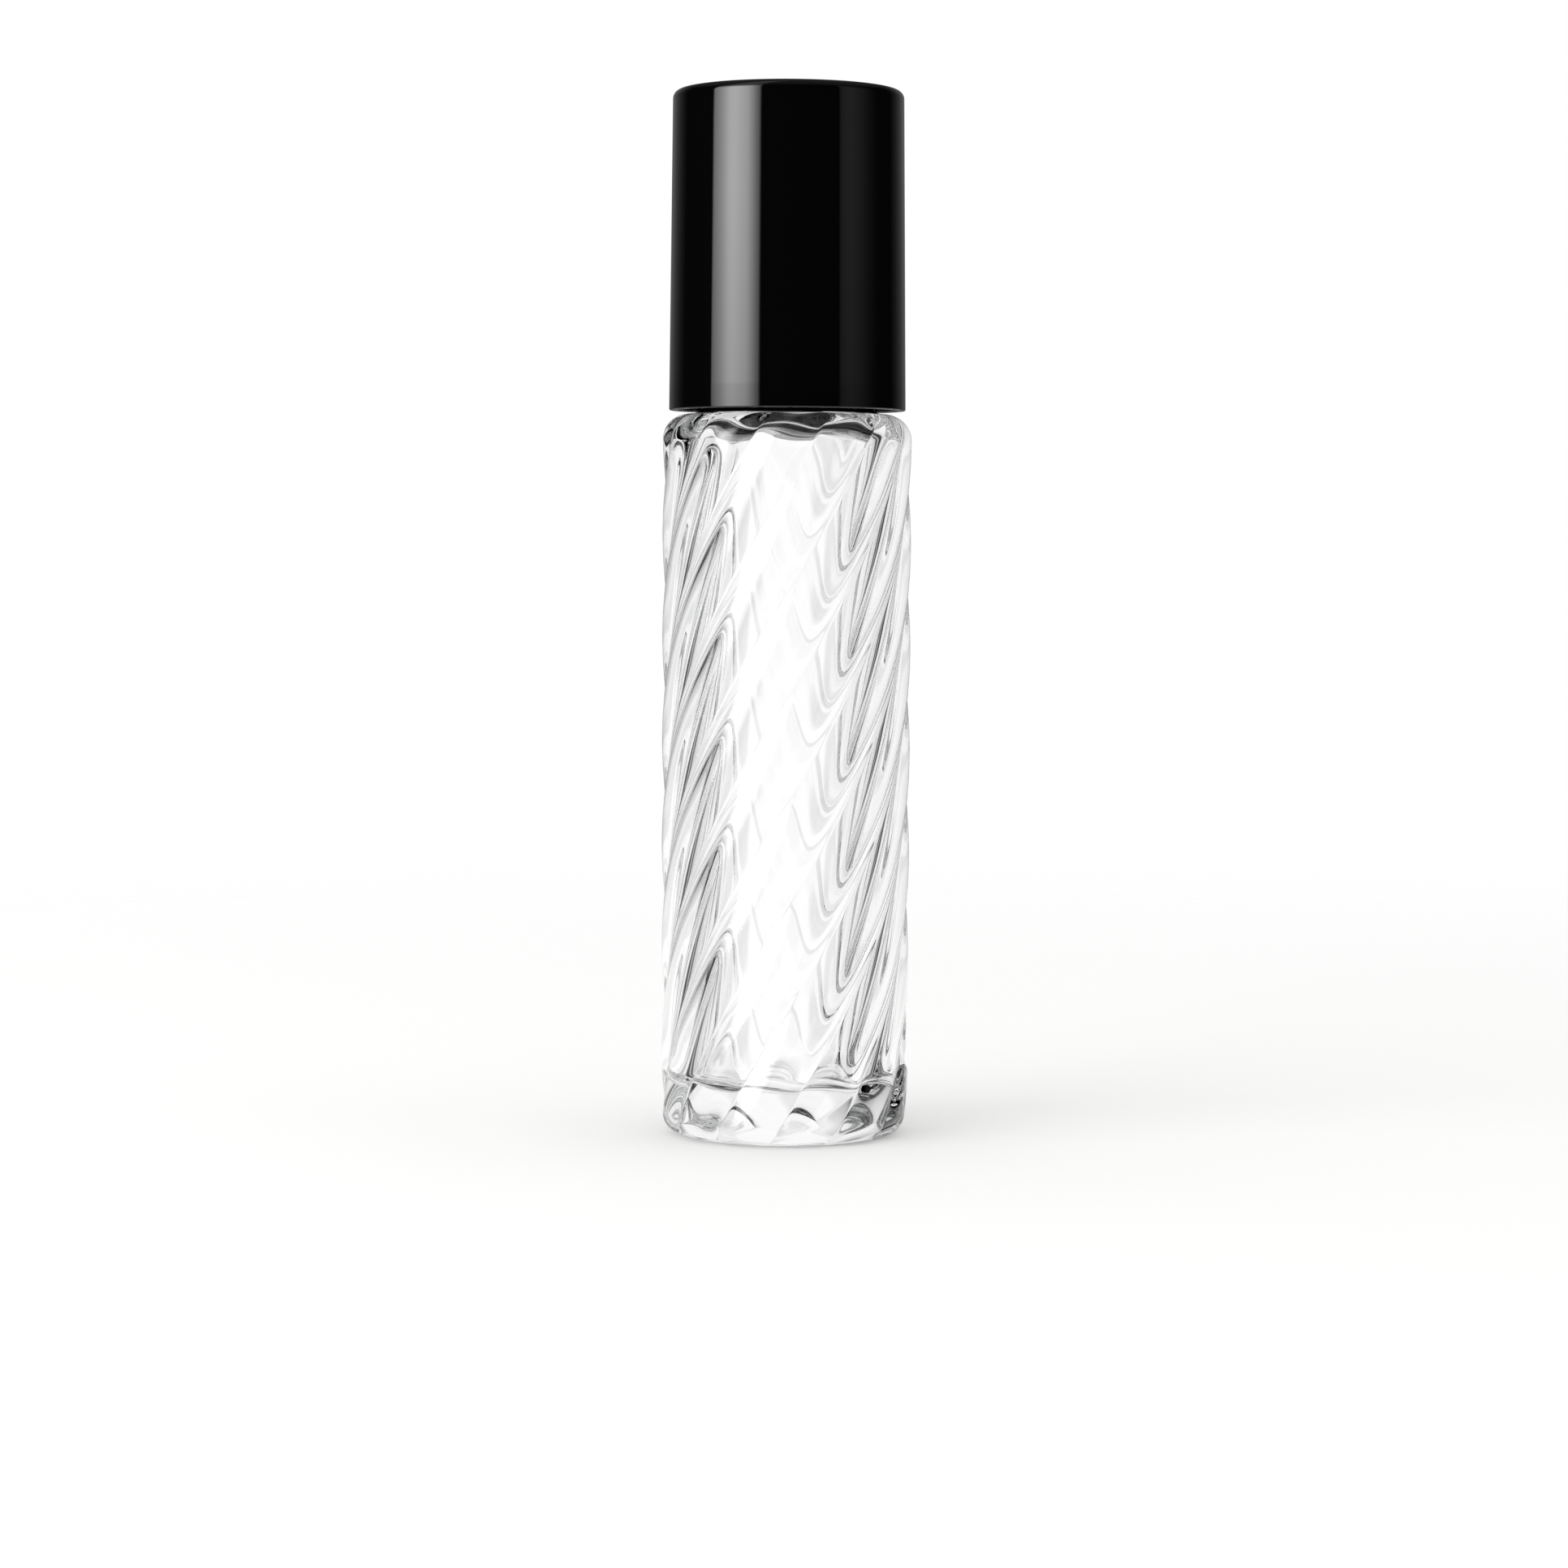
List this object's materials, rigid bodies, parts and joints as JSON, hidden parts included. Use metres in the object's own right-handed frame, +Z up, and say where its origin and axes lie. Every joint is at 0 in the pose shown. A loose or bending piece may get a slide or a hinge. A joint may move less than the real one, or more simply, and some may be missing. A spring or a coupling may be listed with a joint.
{
  "type": "roll on bottle",
  "caption": "Clear glass bottle with twisted ribs, a pressed-in roller fitment holding a steel ball, and a tall glossy screw cap that seals on the ball.",
  "frame": {"origin": "centre of the foot on the table", "axes": "+Z up along the bottle's axis, -Y towards the pictured side, +X to its right"},
  "size_m": [0.0204, 0.0204, 0.0855],
  "materials": {
    "clear_glass": "polished flint glass",
    "natural_polyethylene": "natural, translucent, satin",
    "polished_steel": "polished",
    "foam_wad": "fine foam with a smooth skin",
    "black_polypropylene": "moulded, semi-matt",
    "black_gloss": "high gloss"
  },
  "bodies": {
    "bottle": {"bottle": "clear_glass"},
    "fitment": {"roller_housing": "natural_polyethylene"},
    "ball": {"roller_ball": "polished_steel"},
    "seal": {"cap_seal": "foam_wad"},
    "cap": {"cap_liner": "black_polypropylene", "cap_shell": "black_gloss"}
  },
  "joints": [
    {"name": "fitment_pull", "type": "slide", "parent": "bottle", "child": "fitment", "axis": [0, 0, 1], "range_m": [0, 0.024]},
    {"name": "ball_roll", "type": "hinge", "parent": "fitment", "child": "ball", "pos_m": [0, 0, 0.076], "axis": [1, 0, 0], "continuous": true},
    {"name": "cap_rise", "type": "slide", "parent": "fitment", "child": "seal", "axis": [0, 0, 1], "range_m": [0, 0.0241]},
    {"name": "cap_turn", "type": "hinge", "parent": "seal", "child": "cap", "pos_m": [0, 0, 0.0855], "axis": [0, 0, 1], "range_deg": [0, 2880]}
  ],
  "couplings": [
    {"joint": "cap_rise", "follows": "cap_turn", "m_per_rad": 0.00047746}
  ]
}
